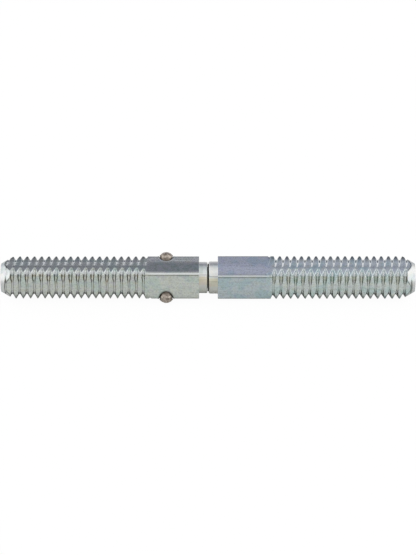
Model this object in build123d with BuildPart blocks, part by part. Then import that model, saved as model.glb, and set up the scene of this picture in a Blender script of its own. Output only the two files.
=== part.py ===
"""Threaded swivel stud: two square-bar halves that turn freely against each other.

The pinned half is bored along its axis. The swivel half carries a turned journal that
runs in that bore, and two pins, pressed through opposite corners of the pinned half,
ride in a groove round the journal so that it can turn but not pull out. Both bars are
square, and their thread is cut on the four corners only.

The frame: X runs along the stud and +X points to the tip of the swivel half, +Z is up,
and the origin is on the axis in the middle of the running gap between the two halves.
"""

import os
from math import atan, cos, pi, radians, sin, tan

from build123d import *

# ---------------------------------------------------------------- driving dimensions, mm
OVERALL_LENGTH = 90.5  # tip to tip
ACROSS_FLATS = 7.144  # square bar, 9/32 in

THREAD_MAJOR = 9.3  # over the corners, a free-running 3/8 in
THREAD_PITCH = 25.4 / 16  # 16 threads to the inch
THREAD_HAND = -1  # -1 is a left-hand thread, 1 a right-hand one
FLANK_ANGLE = 30.0  # each flank leans this far from square to the axis
TIP_DIAMETER = 6.2  # end face of the bar, inside the lead-in cone
TIP_CONE_ANGLE = 30.0  # lead-in cone, measured from the axis

RUNNING_GAP = 0.26  # between the faces of the two necks
PINNED_NECK_LENGTH = 1.82
PINNED_NECK_STEP = 0.16  # how far the neck is turned below the flats
PINNED_NECK_EDGE = 0.18  # chamfer at the gap
SWIVEL_NECK_LENGTH = 2.02
SWIVEL_NECK_STEP = 0.06
SWIVEL_NECK_EDGE = 0.26
THRUST_COLLAR_STEP = 0.26  # collar that fills the gap, below the swivel neck's chamfer
THRUST_CLEARANCE = 0.05  # between the collar and the pinned neck's face

PINNED_PLAIN_LENGTH = 10.7  # unthreaded bar, shoulder to the first trace of thread
SWIVEL_PLAIN_LENGTH = 10.7
RUNOUT_NOTCHES = 5  # notches over which the thread comes in to its full depth
CUTTER_OVERRUN = 0.5  # how far the notch cutter reaches past the corners

JOURNAL_DIAMETER = 4.68
JOURNAL_TAIL = 2.0  # journal beyond its groove
JOURNAL_EDGE = 0.35
JOURNAL_CLEARANCE = 0.04  # all round, in the bore
BORE_END_CLEARANCE = 0.6  # past the journal's end, before the drill point
DRILL_POINT_ANGLE = 59.0  # half of the drill's 118 degree point
DRILL_POINT_SHARE = 0.98  # of a full cone, down to the drill's chisel edge

PIN_DIAMETER = 2.8
PIN_PRESS = 0.005  # the pin is larger than its hole by this much all round
PIN_SETBACK = 7.2  # pin axis behind the pinned half's shoulder
PIN_STAND_OUT = 1.0  # top of the dome above the thread's major diameter
PIN_HEAD_SPREAD = 0.1  # the hammered head is wider than the pin by this much all round
PIN_HEAD_SKIRT = 0.1  # straight edge of the head, under its dome
GROOVE_DEPTH = 0.84
GROOVE_PLAY = 0.05  # beside the pin, each side
PIN_NOSE_CLEARANCE = 0.1  # between the pin and the bottom of the groove

BURR_WIDTH = 0.6  # metal raised round each pin where it was pressed in
BURR_HEIGHT = 0.2  # above the thread's major diameter, against the pin
BURR_RIM = 0.1  # above the flats

REST_ROLL = -6.6  # degrees about X that the pinned half lies from the swivel half

# ------------------------------------------------------------------- worked-out sizes
major_radius = THREAD_MAJOR / 2
thread_land = THREAD_PITCH / 8  # width of the flat crest and of the flat root
thread_depth = (THREAD_PITCH / 2 - thread_land) / tan(radians(FLANK_ANGLE))
root_radius = major_radius - thread_depth
lead_angle = atan(THREAD_PITCH / (2 * pi * root_radius))
tip_cone_length = (major_radius - TIP_DIAMETER / 2) / tan(radians(TIP_CONE_ANGLE))

neck_face = RUNNING_GAP / 2
tip = OVERALL_LENGTH / 2
pinned_shoulder = neck_face + PINNED_NECK_LENGTH
swivel_shoulder = neck_face + SWIVEL_NECK_LENGTH
swivel_neck_radius = ACROSS_FLATS / 2 - SWIVEL_NECK_STEP
thrust_collar_radius = swivel_neck_radius - SWIVEL_NECK_EDGE - THRUST_COLLAR_STEP
thrust_collar_length = RUNNING_GAP - THRUST_CLEARANCE

pin_radius = PIN_DIAMETER / 2
pin_distance = pinned_shoulder + PIN_SETBACK
pin_top = major_radius + PIN_STAND_OUT
groove_radius = JOURNAL_DIAMETER / 2 - GROOVE_DEPTH
groove_width = PIN_DIAMETER + 2 * GROOVE_PLAY
journal_end = pin_distance + groove_width / 2 + JOURNAL_TAIL
bore_radius = JOURNAL_DIAMETER / 2 + JOURNAL_CLEARANCE
bore_end = journal_end + BORE_END_CLEARANCE
drill_point_length = bore_radius / tan(radians(DRILL_POINT_ANGLE))

# ------------------------------------------------- planes that each half is built from
# Both look outwards along the stud, with local x across the flats.
roll = radians(REST_ROLL)
SWIVEL_SIDE = Plane(origin=(0, 0, 0), x_dir=(0, 1, 0), z_dir=(1, 0, 0))
PINNED_SIDE = Plane(origin=(0, 0, 0), x_dir=(0, -cos(roll), -sin(roll)), z_dir=(-1, 0, 0))
CORNERS = (45, 135, 225, 315)  # degrees round either side's plane
PIN_CORNERS = (CORNERS[1], CORNERS[3])


def outward(side, corner):
    """The direction from the axis to a corner of the bar on one side."""
    angle = radians(corner)
    return side.x_dir * cos(angle) + side.y_dir * sin(angle)


# ------------------------------------------------------------------------- the thread
# On a square bar the helical groove only touches the four corners, so it is cut as one
# notch for each corner and quarter of the pitch. A notch is a quarter of a V-ring,
# leaned over by the lead angle, and it follows the helix to about 0.01 mm.
cutter_reach = thread_depth + CUTTER_OVERRUN
cutter_half_width = thread_land / 2 + cutter_reach * tan(radians(FLANK_ANGLE))
ring_start = Plane(
    origin=(0, 0, 0),
    x_dir=(cos(pi / 4), -sin(pi / 4), 0),
    z_dir=(-sin(pi / 4), -cos(pi / 4), 0),
)

with BuildPart() as notch:
    with BuildSketch(ring_start):
        with BuildLine():
            Polyline(
                (root_radius, -thread_land / 2),
                (root_radius + cutter_reach, -cutter_half_width),
                (root_radius + cutter_reach, cutter_half_width),
                (root_radius, thread_land / 2),
                close=True,
            )
        make_face()
    revolve(axis=Axis.Z, revolution_arc=90)


def notch_seats(side, start, first_corner):
    """Planes for the notches of one thread, from its first trace out to the tip."""
    seats = []
    distance = start
    while distance < tip:
        step = len(seats)
        radial = outward(side, first_corner + THREAD_HAND * 90 * step)
        tangent = side.z_dir.cross(radial)
        lean = side.z_dir * cos(lead_angle) - tangent * (THREAD_HAND * sin(lead_angle))
        lift = max(0.0, 1 - (step + 0.5) / RUNOUT_NOTCHES) * thread_depth
        centre = side.origin + side.z_dir * distance + radial * lift
        seats.append(Plane(origin=centre, x_dir=radial, z_dir=lean))
        distance += THREAD_PITCH / 4
    return seats


# ------------------------------------------------------------------ one half's blank
def turned_blank(side, shoulder, neck_step, neck_edge):
    """Square bar with rounded-off corners, a lead-in cone and a turned neck."""
    along = Axis(side.origin, side.z_dir)
    with BuildPart() as blank:
        with BuildSketch(side.offset(shoulder)):
            Circle(major_radius)
        extrude(amount=tip - shoulder)
        tip_edge = blank.edges().filter_by(GeomType.CIRCLE).sort_by(along)[-1]
        chamfer(
            tip_edge,
            length=tip_cone_length,
            length2=major_radius - TIP_DIAMETER / 2,
            reference=blank.faces().filter_by(GeomType.CYLINDER)[0],
        )
        with BuildSketch(side.offset(shoulder)):
            Rectangle(ACROSS_FLATS, ACROSS_FLATS)
        extrude(amount=tip - shoulder, mode=Mode.INTERSECT)
        with BuildSketch(side.offset(neck_face)):
            Circle(ACROSS_FLATS / 2 - neck_step)
        extrude(amount=shoulder - neck_face)
        chamfer(blank.edges().filter_by(GeomType.CIRCLE).sort_by(along)[0], neck_edge)
    return blank.part


# ---------------------------------------------------------------------- swivel half
with BuildPart() as swivel_half:
    add(turned_blank(SWIVEL_SIDE, swivel_shoulder, SWIVEL_NECK_STEP, SWIVEL_NECK_EDGE))
    with BuildSketch(SWIVEL_SIDE.offset(neck_face)):
        Circle(thrust_collar_radius)
    extrude(amount=-thrust_collar_length)
    with BuildSketch(SWIVEL_SIDE.offset(neck_face)):
        Circle(JOURNAL_DIAMETER / 2)
    extrude(amount=-(neck_face + journal_end))
    journal_nose = swivel_half.edges().filter_by(GeomType.CIRCLE).sort_by(Axis.X)[0]
    chamfer(journal_nose, JOURNAL_EDGE)
    with BuildSketch(SWIVEL_SIDE.offset(-(pin_distance + groove_width / 2))):
        Circle(JOURNAL_DIAMETER / 2)
        Circle(groove_radius, mode=Mode.SUBTRACT)
    extrude(amount=groove_width, mode=Mode.SUBTRACT)
    with Locations(*notch_seats(SWIVEL_SIDE, swivel_shoulder + SWIVEL_PLAIN_LENGTH, CORNERS[1])):
        add(notch.part, mode=Mode.SUBTRACT, clean=False)

# ---------------------------------------------------------- where the two pins stand
pin_seats = [
    Plane(
        origin=PINNED_SIDE.z_dir * pin_distance,
        x_dir=PINNED_SIDE.z_dir,
        z_dir=outward(PINNED_SIDE, corner),
    )
    for corner in PIN_CORNERS
]

# ------------------------------------- metal raised round the pins on the pinned half
burr_profile_base = bore_radius + JOURNAL_CLEARANCE
with BuildPart() as burr:
    for seat in pin_seats:
        with BuildSketch(Plane(origin=seat.origin, x_dir=seat.x_dir, z_dir=seat.y_dir)):
            with BuildLine():
                Polyline(
                    (0, -burr_profile_base),
                    (pin_radius + BURR_WIDTH, -burr_profile_base),
                    (pin_radius + BURR_WIDTH, -major_radius),
                    (pin_radius, -major_radius - BURR_HEIGHT),
                    (0, -major_radius - BURR_HEIGHT),
                    close=True,
                )
            make_face()
        revolve(axis=Axis(seat.origin, seat.z_dir))
    with BuildSketch(PINNED_SIDE.offset(pin_distance)):
        Rectangle(ACROSS_FLATS + 2 * BURR_RIM, ACROSS_FLATS + 2 * BURR_RIM)
    extrude(amount=PIN_DIAMETER, both=True, mode=Mode.INTERSECT)

# ----------------------------------------------------------------------- pinned half
with BuildPart() as pinned_half:
    add(turned_blank(PINNED_SIDE, pinned_shoulder, PINNED_NECK_STEP, PINNED_NECK_EDGE))
    add(burr.part)
    with BuildSketch(PINNED_SIDE.offset(neck_face)):
        Circle(bore_radius)
    extrude(amount=bore_end - neck_face, mode=Mode.SUBTRACT)
    with BuildSketch(PINNED_SIDE.offset(bore_end)):
        Circle(bore_radius)
    extrude(amount=drill_point_length * DRILL_POINT_SHARE, taper=DRILL_POINT_ANGLE, mode=Mode.SUBTRACT)
    for seat in pin_seats:
        with Locations(seat.offset(pin_top)):
            Hole(pin_radius - PIN_PRESS, depth=pin_top)
    with Locations(*notch_seats(PINNED_SIDE, pinned_shoulder + PINNED_PLAIN_LENGTH, CORNERS[3])):
        add(notch.part, mode=Mode.SUBTRACT, clean=False)

# ------------------------------------------------------------------------- the pins
nose = groove_radius + PIN_NOSE_CLEARANCE
head_radius = pin_radius + PIN_HEAD_SPREAD
head_seat = major_radius + BURR_HEIGHT
dome_base = head_seat + PIN_HEAD_SKIRT
dome_height = pin_top - dome_base
dome_radius = (head_radius**2 + dome_height**2) / (2 * dome_height)
pins = []
for seat in pin_seats:
    with BuildPart() as pin:
        with BuildSketch(Plane(origin=seat.origin, x_dir=seat.x_dir, z_dir=-seat.y_dir)):
            with BuildLine():
                Polyline(
                    (0, pin_top),
                    (0, nose),
                    (pin_radius, nose),
                    (pin_radius, head_seat),
                    (head_radius, head_seat),
                    (head_radius, dome_base),
                )
                RadiusArc((head_radius, dome_base), (0, pin_top), -dome_radius)
            make_face()
        revolve(axis=Axis(seat.origin, seat.z_dir))
    pins.append(pin)
upper_stop_pin, lower_stop_pin = pins

# --------------------------------------------------------------- labels and the files
os.makedirs("parts", exist_ok=True)

pinned_half.part.label = "pinned_half"
export_step(pinned_half.part, "parts/pinned_half.step")

swivel_half.part.label = "swivel_half"
export_step(swivel_half.part, "parts/swivel_half.step")

upper_stop_pin.part.label = "upper_stop_pin"
export_step(upper_stop_pin.part, "parts/upper_stop_pin.step")

lower_stop_pin.part.label = "lower_stop_pin"
export_step(lower_stop_pin.part, "parts/lower_stop_pin.step")

print(f"thread depth {thread_depth:.3f}, root radius {root_radius:.3f}")
print(f"journal end {journal_end:.2f}, bore end {bore_end:.2f}, pin top {pin_top:.2f}")
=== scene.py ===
# %% [markdown]
# # A threaded swivel stud, zinc plated
#
# The stud is two square bars with a thread rolled on their corners, joined end to end by a
# pinned swivel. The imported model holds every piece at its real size. This lesson gives each
# piece the skin and the finish of the real one, then sets a small studio round it.

import math
from types import SimpleNamespace

import bpy
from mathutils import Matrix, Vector, noise


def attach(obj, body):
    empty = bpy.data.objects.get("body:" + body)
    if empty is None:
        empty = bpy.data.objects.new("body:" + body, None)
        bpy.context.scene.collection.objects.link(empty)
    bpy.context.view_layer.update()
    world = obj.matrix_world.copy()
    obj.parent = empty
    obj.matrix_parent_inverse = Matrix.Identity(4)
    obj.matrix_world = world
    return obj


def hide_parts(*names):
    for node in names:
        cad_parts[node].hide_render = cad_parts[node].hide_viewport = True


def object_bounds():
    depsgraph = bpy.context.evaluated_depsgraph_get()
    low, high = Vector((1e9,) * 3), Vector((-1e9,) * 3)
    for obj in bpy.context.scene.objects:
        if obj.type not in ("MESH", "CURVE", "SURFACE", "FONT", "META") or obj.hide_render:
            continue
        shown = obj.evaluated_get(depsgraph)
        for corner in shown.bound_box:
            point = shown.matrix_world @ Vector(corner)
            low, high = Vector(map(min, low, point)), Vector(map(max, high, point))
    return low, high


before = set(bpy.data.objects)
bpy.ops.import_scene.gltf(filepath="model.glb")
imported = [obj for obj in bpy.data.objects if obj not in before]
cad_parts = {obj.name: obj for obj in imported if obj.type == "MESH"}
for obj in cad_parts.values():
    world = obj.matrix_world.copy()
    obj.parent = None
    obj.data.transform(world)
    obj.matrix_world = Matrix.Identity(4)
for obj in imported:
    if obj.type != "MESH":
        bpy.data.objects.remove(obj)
cad_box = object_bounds()
MM = 0.001
print("pieces:", sorted(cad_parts))
print("box in mm:", [[round(c / MM, 2) for c in corner] for corner in cad_box])

# %% [markdown]
# ## Writing shaders as sums
#
# A finish is mostly arithmetic on patterns: a tint times a mask, plus a little noise. Wiring
# that by hand hides the sum, so one small class wraps an output socket and lets Python's own
# operators add the Math nodes. Every other node comes from one method, `node`, which takes the
# node's type, its settings and then the values or links of its sockets.

# %% A socket that takes part in sums
class Value:
    """An output socket of a finish. Each operator adds one Math node."""

    def __init__(self, finish, socket):
        self.finish = finish
        self.socket = socket

    def math(self, operation, *terms):
        inputs = dict(enumerate(terms))
        return self.finish.node("ShaderNodeMath", {"operation": operation}, inputs)["Value"]

    def __add__(self, other):
        return self.math("ADD", self, other)

    def __sub__(self, other):
        return self.math("SUBTRACT", self, other)

    def __rsub__(self, other):
        return self.math("SUBTRACT", other, self)

    def __mul__(self, other):
        return self.math("MULTIPLY", self, other)

    def __truediv__(self, other):
        return self.math("DIVIDE", self, other)

    __radd__ = __add__
    __rmul__ = __mul__

    def between(self, low, high):
        """0 at low, 1 at high, and a smooth step between them; low may be the larger."""
        settings = {"interpolation_type": "SMOOTHSTEP"}
        inputs = {"Value": self, "From Min": low, "From Max": high}
        return self.finish.node("ShaderNodeMapRange", settings, inputs)["Result"]

    def band(self, start, stop, soft):
        """1 from start to stop, fading to 0 over soft on both sides."""
        return self.between(start - soft, start) * self.between(stop + soft, stop)


print("sums are ready:", Value.__name__)


# %% [markdown]
# A material, and the world too, keeps its nodes in a tree. The next class builds that tree: it
# adds nodes, joins them up, and has short names for the few things that every finish here needs,
# such as a mix of two colours, or a noise drawn out into streaks.

# %% The node tree of a finish
def set_stops(ramp, stops):
    """Gives a colour ramp its stops, each a place and a colour."""
    while len(ramp.elements) < len(stops):
        ramp.elements.new(1.0)
    for element, (place, shade) in zip(ramp.elements, stops):
        element.position = place
        element.color = shade


class Finish:
    """The node tree of one material or of the world."""

    def __init__(self, owner):
        owner.use_nodes = True
        self.owner = owner
        self.tree = owner.node_tree
        self.tree.nodes.clear()

    def node(self, kind, settings=None, inputs=None):
        """Adds a node: its settings first, then the value or link of each input."""
        made = self.tree.nodes.new(kind)
        for name, setting in (settings or {}).items():
            if name == "stops":
                set_stops(made.color_ramp, setting)
            else:
                setattr(made, name, setting)
        for name, given in (inputs or {}).items():
            if isinstance(given, Value):
                self.tree.links.new(given.socket, made.inputs[name])
            else:
                made.inputs[name].default_value = given
        return {socket.name: Value(self, socket) for socket in made.outputs if socket.enabled}

    def mix(self, share, first, second, how="MIX"):
        """The colour first where share is 0, and second laid over it where share is 1."""
        settings = {"data_type": "RGBA", "blend_type": how}
        return self.node("ShaderNodeMix", settings, {0: share, 6: first, 7: second})["Result"]

    def noise(self, place, scale, detail=3.0, roughness=0.5):
        """Soft noise about 0.5; scale is in blobs to the unit of place."""
        inputs = {"Vector": place, "Scale": scale, "Detail": detail, "Roughness": roughness}
        return self.node("ShaderNodeTexNoise", {}, inputs)["Fac"]

    def stretched(self, place, *factors):
        """The place with each axis multiplied, so that a noise on it turns into streaks."""
        settings = {"operation": "MULTIPLY"}
        return self.node("ShaderNodeVectorMath", settings, {0: place, 1: factors})["Vector"]

    def attribute(self, name):
        return self.node("ShaderNodeAttribute", {"attribute_name": name})["Fac"]


def colour(red, green, blue):
    return (red, green, blue, 1.0)


def grey(level):
    return colour(level, level, level)


print("finishes are ready:", Finish.__name__)

# %% [markdown]
# ## The bar and its rolled thread
#
# The thread of such a stud is rolled, not cut: the dies press grooves into the corners of the
# square bar, and the metal swells a little beside them. A boolean cut would leave sharp edges
# and cost minutes. Here each half gets a skin instead, a closed net of rings along the axis.
# Every point of a ring sits at the lower of two surfaces, the square bar and the helical groove,
# with the meeting of the two rounded as the dies leave it.
#
# Places round the bar are angles from the back over the top to the front.

# %% Sizes of the bar and the thread, in millimetres
ACROSS_FLATS = 7.144
MAJOR_RADIUS = 4.65
PITCH = 25.4 / 16
FLANK_SLOPE = 1 / math.tan(math.radians(30))
ROOT_HALF = 0.07  # half the width of the flat bottom of the groove
ROOT_ROUND = 0.08  # radius between the bottom and the flanks
LIP_ROUND = 0.09  # width of the rounded lip along the groove
EDGE_ROUND = 0.05  # width of the rounding on the bar's other edges
SWELL = 0.035  # metal raised between two grooves
DIE_SLIP = 0.2  # how far the groove strays from an even helix on the front corner
FRONT_DIP = 0.19  # how much deeper the groove runs across the middle of the front flat
CROWN = 0.05  # how far the middle of a flat stands above its edges
NO_GROOVE = -0.2  # stored in place of half the groove's width where there is no groove
TIP = cad_box[1].x / MM
TIP_RADIUS = 3.1
CONE_SLOPE = math.tan(math.radians(30))
PIN_AT = 9.15
PIN_RADIUS = 1.4
HOLE_IN_SKIN = 1.75  # the skin opens here, under the raised metal round each pin
HOLE_DEPTH = 0.6
SHOULDER_ROUND, TIP_ROUND = 0.04, 0.03  # the edges broken at the two ends of the bar
ON_AXIS = 0.001  # a radius of nearly nothing, which closes an end
BAR_STEP, THREAD_STEP = 0.11, PITCH / 24
BACK_CORNER, TOP, FRONT_CORNER, FRONT, LOWER_CORNER = 45, 90, 135, 180, 225  # degrees
FLAT_STEPS, CORNER_HALF, CORNER_STEPS = 11, 7, 14  # a corner's 14 degrees get closer points


def soft_least(a, b, width):
    """The lesser of two radii, with a rounded meeting of about this width."""
    near = max(0.0, 1 - abs(a - b) / width)
    return min(a, b) - near * near * width / 4


def step_up(value, low, high):
    """0 below low, 1 above high, smooth between."""
    share = min(1.0, max(0.0, (value - low) / (high - low)))
    return share * share * (3 - 2 * share)


print("pitch", round(PITCH, 4), "tip at", round(TIP, 2))


# %% [markdown]
# Both halves are the same bar with the same thread, pointing opposite ways, so one class describes
# them and each half brings only its own sizes. A mirrored mesh wouldn't do, because both threads
# turn the same way, the halves are rolled against each other and their necks differ. The class
# answers one question: how far from the axis is the skin, this far along and at this angle?

# %% One half of the stud
class Half:
    """Where the bar and the thread of one half lie."""

    def __init__(self, name, direction, roll, **sizes):
        self.name = name
        self.direction = direction
        self.roll = roll
        self.__dict__.update(sizes)
        flat = 45 - CORNER_HALF
        quarter = [-45 + flat * i / FLAT_STEPS for i in range(FLAT_STEPS)]
        quarter += [-CORNER_HALF + 2 * CORNER_HALF * i / CORNER_STEPS for i in range(CORNER_STEPS)]
        quarter += [CORNER_HALF + flat * i / FLAT_STEPS for i in range(FLAT_STEPS)]
        self.angles = [roll + 45 + 90 * q + a for q in range(4) for a in quarter]

    def bar_radius(self, angle):
        from_face = (angle - self.roll + 45) % 90 - 45
        flat = (ACROSS_FLATS / 2 - CROWN) / math.cos(math.radians(from_face))
        flat += CROWN * math.cos(math.radians(from_face * 2))
        return soft_least(flat, MAJOR_RADIUS, EDGE_ROUND)

    def root_radius(self, distance, angle):
        """The bottom of the groove, a little off centre, and rising where the thread runs out."""
        root = self.root + self.lean * math.cos(math.radians(angle - self.lean_to))
        root -= FRONT_DIP * max(0.0, math.cos(math.radians(angle - FRONT - self.roll))) ** 4
        return root + (1 - step_up(distance, self.start, self.full)) * (MAJOR_RADIUS - self.root)

    def groove_radius(self, distance, angle):
        """The rolled groove, a left-hand helix."""
        front = math.radians(angle - FRONT_CORNER - self.roll)
        slip = DIE_SLIP * max(0.0, math.cos(2 * front)) * (math.cos(front) > 0)
        along = self.direction * distance + slip
        off = (along - self.groove_at) / PITCH + (angle - BACK_CORNER - self.roll) / 360
        off = abs(off - round(off)) * PITCH
        rise = (math.hypot(max(0.0, off - ROOT_HALF), ROOT_ROUND) - ROOT_ROUND) * FLANK_SLOPE
        return self.root_radius(distance, angle) + rise

    def surface(self, distance, angle):
        """The skin's radius, half the groove's width and whether a lathe cut it, at one point."""
        bar = self.bar_radius(angle)
        radius, width = bar, NO_GROOVE
        if distance > self.start:
            swollen = math.sin(math.radians(4 * (angle - self.roll))) ** 2
            bar += SWELL * swollen * step_up(distance, self.start, self.full)
            radius = soft_least(bar, self.groove_radius(distance, angle), LIP_ROUND)
            width = ROOT_HALF + (bar - self.root_radius(distance, angle)) / FLANK_SLOPE
        cone = TIP_RADIUS + (TIP - distance) * CONE_SLOPE
        turned = step_up(radius - cone, -0.2, 0.2)
        return soft_least(radius, cone, EDGE_ROUND), width, turned


pinned = Half("pinned_half", -1, -6.6, shoulder=1.95, neck=3.41, neck_edge=0.18, groove_at=-15.0,
              root=3.7, lean=0.12, lean_to=95.0, start=12.2, full=14.6)
swivel = Half("swivel_half", 1, 0.0, shoulder=2.15, neck=3.515, neck_edge=0.26, groove_at=14.95,
              root=3.76, lean=0.11, lean_to=-15.0, start=12.6, full=14.9)
print("points in a ring:", len(pinned.angles))


# %% [markdown]
# The skin is read off that answer ring by ring. The plain bar needs few rings, and the thread
# needs 24 to a pitch to keep its crests round. Where a ring passes a pin, the skin is sunk out of
# sight, because the metal raised round the pin will cover the place.

# %% Rings along the axis
def stepped(start, stop, step):
    """Places from start to stop, about step apart."""
    count = max(1, math.ceil((stop - start) / step))
    return [start + (stop - start) * i / count for i in range(count + 1)]


def round_rings(half, *sizes):
    """Rings that a lathe cut, each given as distance and radius."""
    return [(distance, [(radius, NO_GROOVE, 1.0)] * len(half.angles)) for distance, radius in sizes]


def bar_ring(half, distance, shrink=0.0, at=None):
    """A ring of the bar's own section, taken at another distance where one is given."""
    section = [half.surface(distance if at is None else at, angle) for angle in half.angles]
    return distance, [(radius - shrink, width, turned) for radius, width, turned in section]


def opened(half, ring):
    """The ring with the skin sunk out of sight round the two pins."""
    distance, section = ring
    sunk = []
    for angle, (radius, width, turned) in zip(half.angles, section):
        from_pin = (angle - half.roll - BACK_CORNER + 90) % 180 - 90
        reach = math.hypot(distance - PIN_AT, radius * math.sin(math.radians(from_pin)))
        depth = HOLE_DEPTH * step_up(reach, HOLE_IN_SKIN, HOLE_IN_SKIN - 0.1)
        sunk.append((radius - depth, width, turned))
    return distance, sunk


def bar_rings(half):
    """From the shoulder out to the tip."""
    first, last = half.shoulder + SHOULDER_ROUND, TIP - TIP_ROUND
    plain = stepped(first, half.start, BAR_STEP)
    threaded = stepped(half.start, last, THREAD_STEP)[1:]
    rings = [bar_ring(half, half.shoulder, SHOULDER_ROUND, first)]
    rings += [bar_ring(half, distance) for distance in plain + threaded]
    rings += [bar_ring(half, TIP, TIP_ROUND, last)]
    return rings


print("rings on a threaded bar:", len(bar_rings(swivel)))


# %% [markdown]
# Neighbouring rings are joined by four-sided faces. Each point also keeps three values for the
# finishes to read: half the groove's width there, whether a lathe cut it, and how much grime and
# painted shade it gets.

# %% From rings to a mesh
def link(name, mesh):
    piece = bpy.data.objects.new(name, mesh)
    bpy.context.scene.collection.objects.link(piece)
    return piece


def net(rows):
    """Faces of a net whose rows are loops of equally many points, numbered row by row."""
    count = len(rows[0])
    faces = []
    for r in range(len(rows) - 1):
        for i in range(count):
            j = (i + 1) % count
            faces.append((r * count + i, r * count + j, (r + 1) * count + j, (r + 1) * count + i))
    return faces


class Shell:
    """Points, what is known of each, and faces, gathered for one mesh."""

    def __init__(self, name):
        self.name = name
        self.points, self.faces = [], []
        self.values = {"groove_width": [], "turned": [], "grime": []}

    def add(self, rows, flip):
        """Adds a net of rows of (point, groove width, turned, grime and painted shade)."""
        base = len(self.points)
        for row in rows:
            for point, *values in row:
                self.points.append(point * MM)
                for kept, value in zip(self.values.values(), values):
                    kept.append(value)
        made = [tuple(base + corner for corner in face) for face in net(rows)]
        self.faces += [tuple(reversed(face)) for face in made] if flip else made

    def make(self, sharp=38):
        mesh = bpy.data.meshes.new(self.name)
        mesh.from_pydata(self.points, [], self.faces)
        for name, values in self.values.items():
            mesh.attributes.new(name, "FLOAT", "POINT").data.foreach_set("value", values)
        mesh.shade_smooth()
        mesh.set_sharp_from_angle(angle=math.radians(sharp))
        return link(self.name, mesh)


def turned_point(half, distance, angle, radius):
    round_axis = math.radians(angle)
    return Vector((half.direction * distance, radius * math.cos(round_axis), radius * math.sin(round_axis)))


def skin(half, rings):
    """Adds the rings to a shell; the ends are drawn in to the axis, and the gap gets painted shadow and
    oil.
    """
    shell = Shell(half.name + "_skin")
    first, last = round_rings(half, (rings[0][0], ON_AXIS), (rings[-1][0], ON_AXIS))
    rows = []
    for distance, section in [first, *rings, last]:
        row = []
        for angle, (radius, width, turned) in zip(half.angles, section):
            gap_shadow = 1.0 if abs(distance) <= GAP and radius > JOURNAL else 0.0
            row.append((turned_point(half, distance, angle, radius), width, turned, gap_shadow))
        rows.append(row)
    shell.add(rows, flip=half.direction < 0)
    return shell


print("faces between two rings:", len(net([pinned.angles, pinned.angles])))

# %% [markdown]
# ## The two skins
#
# The pinned half is bored, and the swivel half ends in a journal that turns in the bore. Most of
# that is hidden, but the gap between the necks lets one look in, so both are made whole. The
# swivel half also has a thin collar that all but closes the gap. All of it is lathe work, and a
# list of distances and radii says everything about a lathe-turned shape.

# %% The swivel half, with its collar and journal
GAP = 0.13  # half of the gap between the two necks
JOURNAL, JOURNAL_END = 2.34, 12.6
GROOVE_ROOT, GROOVE_HALF_WIDTH = 1.5, 1.45
COLLAR, COLLAR_END = 2.995, -0.08
CHAMFER = 0.35  # at the end of the journal


def neck_rings(half):
    edge = half.neck_edge
    return round_rings(half, (GAP, half.neck - edge), (GAP + edge / 2, half.neck - edge * 0.35),
                       (GAP + edge, half.neck), (half.shoulder - 0.06, half.neck),
                       (half.shoulder, half.neck + 0.03))


journal_rings = round_rings(
    swivel, (-JOURNAL_END, JOURNAL - CHAMFER), (-JOURNAL_END + CHAMFER, JOURNAL),
    (-PIN_AT - GROOVE_HALF_WIDTH, JOURNAL), (-PIN_AT - GROOVE_HALF_WIDTH, GROOVE_ROOT),
    (-PIN_AT + GROOVE_HALF_WIDTH, GROOVE_ROOT), (-PIN_AT + GROOVE_HALF_WIDTH, JOURNAL),
    (COLLAR_END, JOURNAL), (COLLAR_END, COLLAR), (GAP, COLLAR))
swivel_skin = skin(swivel, journal_rings + neck_rings(swivel) + bar_rings(swivel)).make()
print("swivel half:", len(swivel_skin.data.polygons), "faces")

# %% [markdown]
# A pin driven into its hole pushes up a low ring of metal round it. That ring climbs over the
# corner of the bar, so it is made as its own small net, laid out round the pin's axis, and it
# covers the place where the skin was sunk.

# %% The pinned half, with its bore and the metal raised round the pins
BORE, BORE_END = 2.38, 13.2
HOLE = 1.5
DRILL_POINT = 1.4
# Each step across the raised metal: distance from the pin's axis, height above the bar, grime and painted
# shade.
RAISED = [(2.02, -0.04, 0.0), (1.9, 0.01, 0.15), (1.78, 0.03, 0.4), (1.68, 0.03, 0.65),
          (1.6, -0.01, 0.95), (1.54, -0.08, 1.0), (HOLE, -0.25, 1.0), (HOLE, -0.6, 1.0)]


def bar_height(aside):
    """Height of the bar's surface along a pin's axis, this far to the side of it."""
    flats = ACROSS_FLATS / math.sqrt(2) - abs(aside)
    return soft_least(flats, math.sqrt(MAJOR_RADIUS**2 - aside**2), EDGE_ROUND)


def pin_point(half, turn, out, reach, around):
    """A point at a pin: out along its axis, and reach away from it in the direction around."""
    axis = math.radians(half.roll + turn)
    aside = reach * math.sin(around)
    return Vector((half.direction * (PIN_AT + reach * math.cos(around)),
                   out * math.cos(axis) - aside * math.sin(axis),
                   out * math.sin(axis) + aside * math.cos(axis)))


def raised_metal(shell, half, turn, steps=72):
    rows = []
    for reach, lift, grime in RAISED:
        row = []
        for i in range(steps):
            around = 2 * math.pi * i / steps
            out = bar_height(reach * math.sin(around)) + lift
            row.append((pin_point(half, turn, out, reach, around), NO_GROOVE, 0.0, grime))
        rows.append(row)
    shell.add(rows, flip=True)


bore_rings = round_rings(pinned, (BORE_END + DRILL_POINT, 0.05), (BORE_END, BORE),
                         (GAP + 0.1, BORE), (GAP, BORE + 0.1))
solid_rings = [opened(pinned, ring) for ring in bar_rings(pinned)]
pinned_shell = skin(pinned, bore_rings + neck_rings(pinned) + solid_rings)
for turn in (BACK_CORNER, LOWER_CORNER):
    raised_metal(pinned_shell, pinned, turn)
pinned_skin = pinned_shell.make()
print("pinned half:", len(pinned_skin.data.polygons), "faces")

# %% [markdown]
# ## The two stop pins
#
# A pin is driven through each of two corners and hammered over. Its head is a low dome with
# small dents, so it is turned from a profile and every point of the head is moved by noise.

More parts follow.
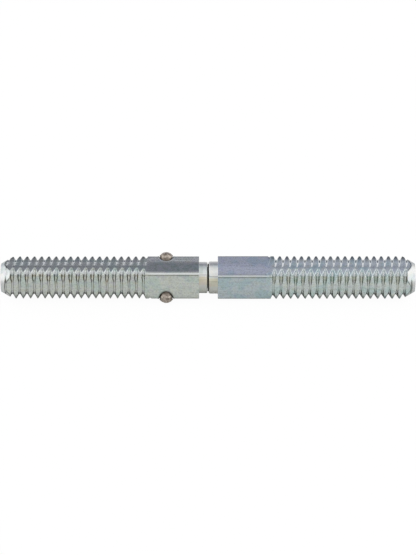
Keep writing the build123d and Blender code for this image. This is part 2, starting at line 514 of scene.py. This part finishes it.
# %% The hammered pins
PIN_NOSE, HEAD_RADIUS = 1.62, 1.46
HEAD_BASE, HEAD_TOP = 4.86, 5.64
HEAD_CURVE = (HEAD_RADIUS**2 + (HEAD_TOP - HEAD_BASE) ** 2) / (2 * (HEAD_TOP - HEAD_BASE))
DENT = 0.09


def pin_profile(head_steps=14, nose=0.1):
    """Height and radius from the nose to the crown."""
    profile = [(PIN_NOSE, ON_AXIS), (PIN_NOSE, PIN_RADIUS - nose), (PIN_NOSE + nose, PIN_RADIUS)]
    profile += [(height, PIN_RADIUS) for height in (3.2, 3.6, 4.0, 4.4, 4.7)]
    profile += [(4.78, PIN_RADIUS + 0.02), (HEAD_BASE - 0.04, HEAD_RADIUS - 0.01)]
    for i in range(head_steps + 1):
        radius = HEAD_RADIUS * (1 - i / head_steps)
        height = HEAD_TOP - HEAD_CURVE + math.sqrt(HEAD_CURVE**2 - radius**2)
        profile.append((height, max(ON_AXIS, radius)))
    return profile


def pin(name, turn, steps=56):
    shell = Shell(name + "_skin")
    rows = []
    for height, radius in pin_profile():
        row = []
        for i in range(steps):
            around = 2 * math.pi * i / steps
            place = pin_point(pinned, turn, height, radius, around)
            dent = max(0.0, noise.noise(place * 1.7 + Vector((turn, 0, 0)))) * DENT
            on_head = step_up(height, 4.6, 5.1)
            place = pin_point(pinned, turn, height - dent * on_head, radius * (1 - 0.3 * dent), around)
            # Painted shade: the shank down in the hole and the rim of the head are darkened.
            grime = 0.8 * (1 - step_up(height, 3.9, 4.3)) + 0.45 * step_up(radius, 1.25, 1.42) * on_head
            row.append((place, NO_GROOVE, 0.0, grime))
        rows.append(row)
    shell.add(rows, flip=True)
    return shell.make()


upper_pin = pin("upper_stop_pin", BACK_CORNER)
lower_pin = pin("lower_stop_pin", LOWER_CORNER)
print("a pin:", len(upper_pin.data.polygons), "faces")

# %% [markdown]
# ## What each piece stands for
#
# The imported model holds four plain solids, and each skin is the visible form of one of them. A
# skin rides on the body that its solid belongs to, so it moves with the swivel, and it takes the
# solid's place in sight. The solids themselves stay for collision, hidden.

# %% What each piece stands for
for piece, body, slot in ((pinned_skin, "pinned_body", "zinc_plated_steel"),
                          (swivel_skin, "swivel_body", "zinc_plated_steel"),
                          (upper_pin, "pinned_body", "bare_steel"),
                          (lower_pin, "pinned_body", "bare_steel")):
    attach(piece, body)
    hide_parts(piece.name.replace("_skin", ""))
    print(piece.name, "rides on", body)

# %% [markdown]
# ## Zinc
#
# Bright zinc under a thin clear chromate film is a grey metal with faint straw, teal and violet
# patches. One colour can't give that, so the finish is a stack of thin layers, each laid on the
# one below through a mask. The masks have to know where a point lies: round the bar, along it and
# across the groove. The first helper works that out from the point's place, from values stored on
# the points and from the thread's own equation, written once more as shader maths. Every mark
# then stays on the metal when the stud turns.

# %% Where a point lies on a half
class Lie:
    """Where each point of a half is, in millimetres and degrees, and the noises on it."""

    def __init__(self, finish, half):
        metres = finish.node("ShaderNodeTexCoord")["Object"]
        self.place = finish.stretched(metres, 1 / MM, 1 / MM, 1 / MM)
        axes = finish.node("ShaderNodeSeparateXYZ", {}, {0: self.place})
        angle = axes["Z"].math("ARCTAN2", -1 * axes["Z"], -1 * axes["Y"]) * (180 / math.pi) + 180
        self.place_round_the_bar(angle, half)
        self.place_along_the_bar(finish, axes["X"], half)
        self.place_in_the_groove(axes["X"], angle, half)
        self.add_noises(finish)

    def place_round_the_bar(self, angle, half):
        """Across counts from the middle of the upper flat, and from_corner from the nearest corner."""
        self.across = angle - TOP - half.roll
        self.upper = angle.math("ABSOLUTE", self.across).between(48, 42)
        self.from_face = angle.math("PINGPONG", angle - half.roll, 45.0)
        self.from_corner = angle.math("WRAP", self.across - 45, 45.0, -45.0)

    def place_along_the_bar(self, finish, along, half):
        """Masks of the lathe-turned parts, the neck among them, the thread and the plain bar."""
        distance = along.math("ABSOLUTE", along)
        self.turned = finish.attribute("turned")
        self.grime = finish.attribute("grime")
        self.width = finish.attribute("groove_width")
        self.on_neck = self.turned * distance.between(3, 2.8)
        self.threaded = distance.between(half.start, half.full) * self.turned.between(0.9, 0.5)
        self.plain = (1 - self.threaded) * (1 - self.turned)

    def place_in_the_groove(self, along, angle, half):
        """Side is the distance from the middle of the groove, and off is the same without its sign."""
        front = (angle - FRONT_CORNER - half.roll) * (math.pi / 180)
        slip = front.math("MAXIMUM", front.math("COSINE", 2 * front), 0.0)
        slip = slip * front.math("COSINE", front).between(0, 0.01) * DIE_SLIP
        turns = (along + slip - half.groove_at) / PITCH + (angle - BACK_CORNER - half.roll) / 360
        self.side = turns.math("WRAP", turns, 0.5, -0.5) * PITCH
        self.off = self.side.math("ABSOLUTE", self.side)
        shallow = self.upper * self.width.between(0.4, 0.3)
        self.in_groove = (self.width - self.off).between(-0.03, 0.06) * (1 - shallow)

    def add_noises(self, finish):
        self.cloud = finish.noise(self.place, 0.35, 4.0)
        self.blotch = finish.noise(self.place, 1.1, 3.0)
        self.speckle = finish.noise(self.place, 2.6, 5.0, 0.8)
        self.streak = finish.noise(finish.stretched(self.place, 0.2, 4.0, 4.0), 1.3, 3.0)


print("a point's place on a half is worked out in", Lie.__name__)

# %% [markdown]
# The metal's own tint comes first. The upper flat is cooler than the front one, and its tints are
# also darker, as painted shade. The dies burnish the crests, and the necks and the tips were turned
# on a lathe, which leaves them brighter. The necks get a cream band and an olive band along their
# length, at fixed angles round them.

# %% The tints of the metal
TURNED_ZINC = colour(0.84, 0.85, 0.84)
CREAM = colour(0.93, 0.85, 0.7)
OLIVE = colour(0.83, 0.84, 0.76)


def metal_tint(finish, lie, marks):
    tints = marks.tints
    plain = finish.mix(lie.upper, tints["lower"], tints["upper"])
    crest = finish.mix(lie.upper, tints["lower_thread"], tints["upper_thread"])
    groove = finish.mix(lie.upper, tints["groove"], tints["upper_groove"])
    tint = finish.mix(lie.in_groove, finish.mix(lie.threaded, plain, crest), groove)
    tint = finish.mix(lie.turned.between(0.45, 0.7), tint, TURNED_ZINC)

    # Painted shade: where the groove runs shallow on the upper flat it is darkened, dimming the shine of
    # its lips.
    shallow_groove = lie.width.between(0.33, 0.23) * (lie.width - lie.off).between(-0.1, -0.02)
    shade = shallow_groove * lie.upper * lie.threaded * marks.groove_shade
    tint = finish.mix(shade, tint, grey(0.3), "MULTIPLY")

    cream = lie.on_neck * lie.across.band(56, 80, 8) * (0.4 + lie.blotch)
    tint = finish.mix(cream, tint, CREAM, "MULTIPLY")
    olive = lie.on_neck * lie.across.band(90, 150, 12) * 0.7
    return finish.mix(olive, tint, OLIVE, "MULTIPLY")


print("tints of the necks:", CREAM[:3], OLIVE[:3])

# %% [markdown]
# The chromate film is thicker in some places than in others, and shows that as patches of
# colour. A film only takes light away, so each patch multiplies the tint. The plating's speckle
# and the drawn bar's streaks are laid on in the same way, and the dies wipe them off the groove.

# %% The chromate film
STRAW = colour(0.98, 0.95, 0.87)
TEAL = colour(0.87, 0.97, 0.96)
DEEP_TEAL = colour(0.82, 0.94, 0.95)
VIOLET = colour(0.92, 0.88, 0.98)
FRONT_TINT = colour(0.72, 0.79, 0.8)


def filmed(finish, lie, tint, marks):
    first, second, third = marks.patches
    for field, low, high, patch in ((lie.cloud, 0.48, 0.6, first), (lie.blotch, 0.52, 0.68, second),
                                    (lie.blotch, 0.48, 0.34, third)):
        share = field.between(low, high) * (0.8 - 0.3 * lie.turned)
        tint = finish.mix(share, tint, patch, "MULTIPLY")
    # The front part of the upper flat of the plain bar is made darker, as much as front_shade says.
    near_front = lie.across.band(0, 36, 8) * (1 - lie.threaded) * (0.6 + lie.blotch.between(0.4, 0.6))
    tint = finish.mix(near_front * marks.front_shade, tint, FRONT_TINT, "MULTIPLY")
    stain = lie.speckle.between(0.46, 0.62) * 0.65 + lie.streak.between(0.5, 0.68) * 0.35
    stain = stain * (1 - 0.8 * lie.in_groove) * (1 - lie.turned)
    return finish.mix(stain, tint, grey(0.66), "MULTIPLY")


print("patches of the film:", len((STRAW, TEAL, DEEP_TEAL, VIOLET)), "colours")

# %% [markdown]
# Painted shade and painted reflection come as thin dark lines, multiplied on: at the foot of each
# flank on the lower flats, along the back and the lower corners of the thread, beside the corners
# of the plain bar, and in two thin lines on the necks. The flank line follows the groove's own
# width, so it narrows where the groove does, and it is tinted from dark grey-green to rust brown.

# %% Painted shade in dark lines
DARK_FLANK_SHADE = colour(0.14, 0.15, 0.13)
BROWN_FLANK_SHADE = colour(0.24, 0.18, 0.1)


def painted_dark_lines(finish, lie, tint, marks):
    across, off, width = lie.across, lie.off, lie.width
    # Painted shade: the back corner and the lower corner of the thread are darkened.
    outline = (across.band(-54, -36, 12) + across.band(126, 144, 8)) * lie.threaded
    # Painted reflection: dark lines beside every corner of the plain bar, and two lines along each neck.
    from_edge = lie.from_corner - marks.edge_at
    beside_edge = (from_edge.band(3, 5, 1.5) * 0.6 + from_edge.band(-6, -3, 1.0) * 0.5) * lie.plain
    on_neck = lie.on_neck * (across.band(45.5, 47, 1.5) + 0.7 * across.band(64, 65, 1.5)) * 0.5
    tint = finish.mix(outline * 0.75 + beside_edge + on_neck, tint, grey(0.35), "MULTIPLY")

    # Painted shade at the foot of each flank on the lower flats, its strength set by the place round the
    # bar.
    line_at = width.math("MAXIMUM", width.math("MINIMUM", width * 0.95, 0.3), 0.2)
    line = (off - line_at).band(-0.08, 0.06, 0.06) * (1 - lie.upper) * lie.threaded
    near_corner = (1 - marks.middle_oil) * across.between(80, 62)
    near_bottom = marks.bottom_oil * across.between(86, 108)
    line = line * (marks.middle_oil + near_corner + near_bottom)
    oil = finish.mix(lie.blotch.between(0.5, 0.62), DARK_FLANK_SHADE, BROWN_FLANK_SHADE)
    return finish.mix(line * marks.oil * (0.7 + 0.8 * lie.blotch), tint, oil, "MULTIPLY")


print("oil:", DARK_FLANK_SHADE[:3], "to", BROWN_FLANK_SHADE[:3])

# %% [markdown]
# The rims of the groove get a painted highlight, and one flank of it painted shade, as if it lay in
# the shade of the other. Where zinc has begun to weather it turns from mirror to chalk: a pale
# bloom. One mask makes the tint paler, the surface rougher and the metal less metallic, all at once.
# It holds real bloom in a speckled band on the thread and in streaks at the back of the upper flat,
# and painted highlights on one flank, on a spot, in the waist and on the lips of the groove, on the
# lower flanks, and along the corners of the plain bar.

# %% Painted rim highlights, shade and bloom
RIM_HIGHLIGHT = colour(0.95, 0.98, 0.99)
BLOOM_AND_HIGHLIGHT = colour(0.9, 0.93, 0.95)


def front_notch(lie):
    """The groove where it cuts the upper flat beside the front corner."""
    return lie.in_groove * lie.width.between(0.16, 0.28) * lie.across.band(8, 46, 3)


def rimmed(finish, lie, tint, marks):
    # Painted highlight along the rims of the groove on the upper flat.
    rim = (lie.width - lie.off).band(-0.01, 0.02, 0.04) * lie.upper * lie.threaded
    rim = rim * lie.width.between(marks.rim_from, marks.rim_from + 0.1)
    tint = finish.mix(rim, tint, RIM_HIGHLIGHT)
    # Painted shade on the far flank of the groove beside the front corner.
    far_flank = front_notch(lie) * lie.side.between(0.02, 0.12)
    return finish.mix(far_flank * marks.groove_shade, tint, grey(0.62), "MULTIPLY")


def bloom_mask(lie, marks):
    """1 where the zinc is chalky and where a highlight is painted, 0 on bare metal."""
    across, off, shares = lie.across, lie.off, marks.bloom
    patchy = lie.speckle.between(0.42, 0.6) * (0.25 + 0.75 * off.between(0.6, 0.35))
    # Painted highlights on the upper flat: one flank, a spot, the lips and the waist of the groove; the
    # speckled band is real bloom.
    on_upper = {"flank": front_notch(lie) * lie.side.between(0.02, -0.05),
                "spot": off.between(0.26, 0.12) * across.band(33, 46, 4),
                "lips": (off - 0.0076 * lie.from_face).band(0.08, 0.12, 0.05) * across.between(0, -6),
                "waist": off.between(0.2, 0.1) * across.band(-9, 6, 5),
                "band": across.band(-10, 7, 6) * patchy}
    on_thread = sum(mark * shares[name] for name, mark in on_upper.items()) * lie.upper
    # Painted highlight on the lit part of the lower flanks.
    lit_flank = off.between(0.4, 0.5) * across.band(49, 72, 8) * lie.in_groove * (1 - lie.upper)
    weathered = lie.speckle.between(0.4, 0.62) + lie.streak.between(0.45, 0.6)
    on_flat = across.between(-10, -20) * weathered * lie.upper * shares["plain"]
    # Painted highlight along each corner of the plain bar.
    edge_highlight = (lie.from_corner - marks.edge_at).band(-1, 1, 1.5) * shares["edge"]
    bloom = (on_thread + 0.6 * lit_flank) * lie.threaded + (on_flat + edge_highlight) * lie.plain
    return bloom.math("MINIMUM", bloom, 1.0)


print("bloom:", BLOOM_AND_HIGHLIGHT[:3])

# %% [markdown]
# The layers are now laid on in order, and a Principled shader takes the result. Zinc is a metal,
# so its colour is the tint of its reflections, and the streaks and the speckle also go into its
# roughness and a very shallow bump.

# %% The zinc finish
SHADE_AND_GRIME = colour(0.05, 0.048, 0.045)


def zinc(half, marks):
    finish = Finish(bpy.data.materials.new("zinc_on_" + half.name))
    lie = Lie(finish, half)
    tint = metal_tint(finish, lie, marks)
    for layer in (filmed, painted_dark_lines, rimmed):
        tint = layer(finish, lie, tint, marks)
    bloom = bloom_mask(lie, marks)
    tint = finish.mix(bloom, tint, BLOOM_AND_HIGHLIGHT)
    # Painted shade: a thin dark line where the turned cone meets the thread.
    edge_of_tip = lie.turned.band(0.1, 0.35, 0.1) * 0.8
    tint = finish.mix(edge_of_tip, tint, grey(0.3), "MULTIPLY")
    # Painted shadow, with grime: near black in the gap between the necks and round the pin holes.
    tint = finish.mix(lie.grime, tint, SHADE_AND_GRIME)

    rough = 0.14 + 0.14 * lie.speckle + 0.06 * lie.streak + 0.3 * lie.grime
    rough = rough + 0.08 * lie.turned - 0.04 * lie.in_groove + 0.3 * bloom
    height = 0.35 * lie.streak + 0.5 * lie.speckle * (1 - lie.in_groove) + 0.3 * lie.blotch
    relief = {"Strength": 0.35, "Distance": 0.012 * MM, "Height": height}
    normal = finish.node("ShaderNodeBump", {}, relief)["Normal"]
    look = {"Base Color": tint, "Metallic": 1 - 0.7 * bloom, "Roughness": rough, "Normal": normal}
    shader = finish.node("ShaderNodeBsdfPrincipled", {}, look)["BSDF"]
    finish.node("ShaderNodeOutputMaterial", {}, {"Surface": shader})
    return finish.owner


print("zinc layers: metal, film, dirt, rims, bloom")

# %% [markdown]
# The two halves were plated and handled apart, and each has its own strength of every mark. The
# pinned half is greener, with more painted shade at its flanks. The swivel half is bluer, with more
# painted highlight in its groove.

# %% The zinc on the two halves
pinned_marks = SimpleNamespace(
    patches=(TEAL, STRAW, VIOLET), front_shade=0.6, groove_shade=0.5, rim_from=0.3, edge_at=1,
    oil=0.82, middle_oil=0.6, bottom_oil=-0.3,
    tints={"upper": colour(0.79, 0.82, 0.82), "lower": colour(0.8, 0.85, 0.79),
           "upper_thread": colour(0.73, 0.78, 0.76), "lower_thread": colour(0.8, 0.85, 0.79),
           "upper_groove": colour(0.84, 0.86, 0.85), "groove": colour(0.82, 0.84, 0.82)},
    bloom={"flank": 0.95, "spot": 0.0, "lips": 0.4, "waist": 0.4, "band": 0.5, "plain": 0.25, "edge": 1.0})
swivel_marks = SimpleNamespace(
    patches=(DEEP_TEAL, VIOLET, STRAW), front_shade=0.0, groove_shade=0.25, rim_from=0.12, edge_at=0.5,
    oil=0.62, middle_oil=0.35, bottom_oil=0.6,
    tints={"upper": colour(0.62, 0.67, 0.77), "lower": colour(0.7, 0.79, 0.82),
           "upper_thread": colour(0.63, 0.7, 0.73), "lower_thread": colour(0.86, 0.94, 0.91),
           "upper_groove": colour(0.64, 0.71, 0.72), "groove": colour(0.76, 0.81, 0.78)},
    bloom={"flank": 0.3, "spot": 1.0, "lips": 1.0, "waist": 1.0, "band": 0.1, "plain": 0.05, "edge": 0.6})
for piece, half, marks in ((pinned_skin, pinned, pinned_marks), (swivel_skin, swivel, swivel_marks)):
    piece.data.materials.append(zinc(half, marks))
    print(piece.data.materials[0].name, "has", len(piece.data.materials[0].node_tree.nodes), "nodes")

# %% [markdown]
# ## Bare steel
#
# The pins are driven in after plating, so they are bare steel, brown and grey from handling, with
# dull dents. Two noises are enough: a coarse one mottles the colour and a fine one breaks it up,
# and both lift the surface a little so that the dents catch the light.

# %% The bare steel of the pins
def bare_steel():
    finish = Finish(bpy.data.materials.new("bare_steel"))
    place = finish.stretched(finish.node("ShaderNodeTexCoord")["Object"], 1 / MM, 1 / MM, 1 / MM)
    mottle = finish.noise(place, 2.2, 4.0, 0.6)
    fine = finish.noise(place, 7.0, 2.0)
    grime = finish.attribute("grime")
    tint = finish.mix(mottle.between(0.38, 0.6), colour(0.34, 0.29, 0.25), colour(0.72, 0.64, 0.57))
    tint = finish.mix(fine.between(0.55, 0.7) * 0.6, tint, colour(0.55, 0.5, 0.42), "MULTIPLY")
    # The pins' painted shade on the shank and the head's rim is mixed in here.
    tint = finish.mix(grime, tint, colour(0.12, 0.1, 0.08))
    relief = {"Strength": 0.5, "Distance": 0.03 * MM, "Height": mottle + 0.4 * fine}
    normal = finish.node("ShaderNodeBump", {}, relief)["Normal"]
    look = {"Base Color": tint, "Metallic": 1.0, "Roughness": 0.36 + 0.2 * fine, "Normal": normal}
    shader = finish.node("ShaderNodeBsdfPrincipled", {}, look)["BSDF"]
    finish.node("ShaderNodeOutputMaterial", {}, {"Surface": shader})
    return finish.owner


steel = bare_steel()
for piece in (upper_pin, lower_pin):
    piece.data.materials.append(steel)
print("bare steel on both pins")

# %% [markdown]
# ## The studio
#
# Metal has no look of its own: it shows what stands round it. A single soft dome would leave it
# flat, so the world is a ring of soft panels with darker gaps between them, like a light tent,
# and two bright side walls that whiten the cones at the tips.

# %% The light tent
# Level of the tent at each angle, from behind the stud over the top to the front.
TENT = [(0, 0.5), (14, 0.4), (20, 0.27), (31, 0.15), (35, 0.26), (40, 0.55), (50, 0.68), (60, 0.74),
        (80, 0.76), (98, 0.95), (108, 0.75), (113, 0.42), (119, 0.9), (126, 0.7), (137, 0.28), (145, 0.62),
        (158, 0.62), (171, 0.36), (180, 0.6)]
COOL_ENDS, WARM_STARTS = (40, 60), (130, 150)
SIDE_WALLS = 1.1


def tent_colour(angle, level):
    """Cool behind the stud, plain above it and a little warm in front."""
    cool = 1 - step_up(angle, *COOL_ENDS)
    warm = step_up(angle, *WARM_STARTS)
    red = 1 - 0.03 * cool + 0.03 * warm
    green = 1 - 0.03 * cool + 0.01 * warm
    blue = 1 + 0.1 * cool - 0.1 * warm
    return colour(level * red, level * green, level * blue)


tent = Finish(bpy.data.worlds.new("light_tent"))
bpy.context.scene.world = tent.owner
toward = tent.node("ShaderNodeTexCoord")["Generated"]
part = tent.node("ShaderNodeSeparateXYZ", {}, {0: toward})
around = part["Z"].math("ARCTAN2", part["Z"], part["Y"]) / math.pi
stops = [(angle / 180, tent_colour(angle, level)) for angle, level in TENT]
panels = tent.node("ShaderNodeValToRGB", {"stops": stops}, {"Fac": around})["Color"]
sideways = part["X"].math("ABSOLUTE", part["X"]).between(0.4, 0.75)
panels = tent.mix(sideways, panels, grey(SIDE_WALLS))
lit = tent.node("ShaderNodeBackground", {}, {"Color": panels})["Background"]
white = tent.node("ShaderNodeBackground", {}, {"Color": grey(1.0)})["Background"]
rays = tent.node("ShaderNodeLightPath")
shown = tent.node("ShaderNodeMixShader", {}, {0: rays["Is Camera Ray"], 1: lit, 2: white})["Shader"]
tent.node("ShaderNodeOutputWorld", {}, {"Surface": shown})
print("panels in the tent:", len(TENT))

# %% [markdown]
# The stud lies on a sheet of white paper. Lamps bright enough to burn that paper out would burn
# the zinc out too, so the paper glows for the camera alone, and only a little of the glow is
# shown to the metal. What is left of its plain matt white keeps the soft shadow under the stud.

# %% The paper floor
FLOOR_HALF = 3.0  # metres, so that the paper's edge is never in view
GLOW_SEEN, GLOW_REFLECTED = grey(1.03), grey(0.46)
floor_z = cad_box[0].z
corners = [(x * FLOOR_HALF, y * FLOOR_HALF, floor_z) for x, y in ((-1, -1), (1, -1), (1, 1), (-1, 1))]
floor_mesh = bpy.data.meshes.new("floor")
floor_mesh.from_pydata(corners, [], [(0, 1, 2, 3)])
floor = link("floor", floor_mesh)

paper = Finish(bpy.data.materials.new("white_paper"))
matt = paper.node("ShaderNodeBsdfDiffuse", {}, {"Color": grey(0.8)})["BSDF"]
rays = paper.node("ShaderNodeLightPath")
reflected = rays["Is Glossy Ray"].math("MAXIMUM", rays["Is Glossy Ray"], rays["Is Transmission Ray"])
glowing = paper.mix(rays["Is Camera Ray"], GLOW_REFLECTED, GLOW_SEEN)
glow = paper.node("ShaderNodeEmission", {}, {"Color": glowing})["Emission"]
share = 0.93 * rays["Is Camera Ray"] + 0.2 * reflected
shown = paper.node("ShaderNodeMixShader", {}, {0: share, 1: matt, 2: glow})["Shader"]
paper.node("ShaderNodeOutputMaterial", {}, {"Surface": shown})
floor_mesh.materials.append(paper.owner)
print("floor at", round(floor_z / MM, 2), "mm")

# %% [markdown]
# ## The camera
#
# The stud lies level across the picture and is seen from 41 degrees up, through a long lens, so
# that its two ends look alike.

# %% The camera
ELEVATION = math.radians(41)
DISTANCE = 0.526
LENS_PER_METRE = 296  # a longer lens from further off keeps the stud as large
lens = bpy.data.cameras.new("camera")
lens.lens = LENS_PER_METRE * DISTANCE
lens.sensor_width = 36
lens.clip_start, lens.clip_end = 0.01, 10
camera = bpy.data.objects.new("camera", lens)
bpy.context.scene.collection.objects.link(camera)
camera.location = (0, -DISTANCE * math.cos(ELEVATION), DISTANCE * math.sin(ELEVATION))
camera.rotation_euler = (math.pi / 2 - ELEVATION, 0, 0)
bpy.context.scene.camera = camera
bpy.context.scene.view_settings.view_transform = "Standard"
print("camera", round(DISTANCE / MM), "mm away")

# %% [markdown]
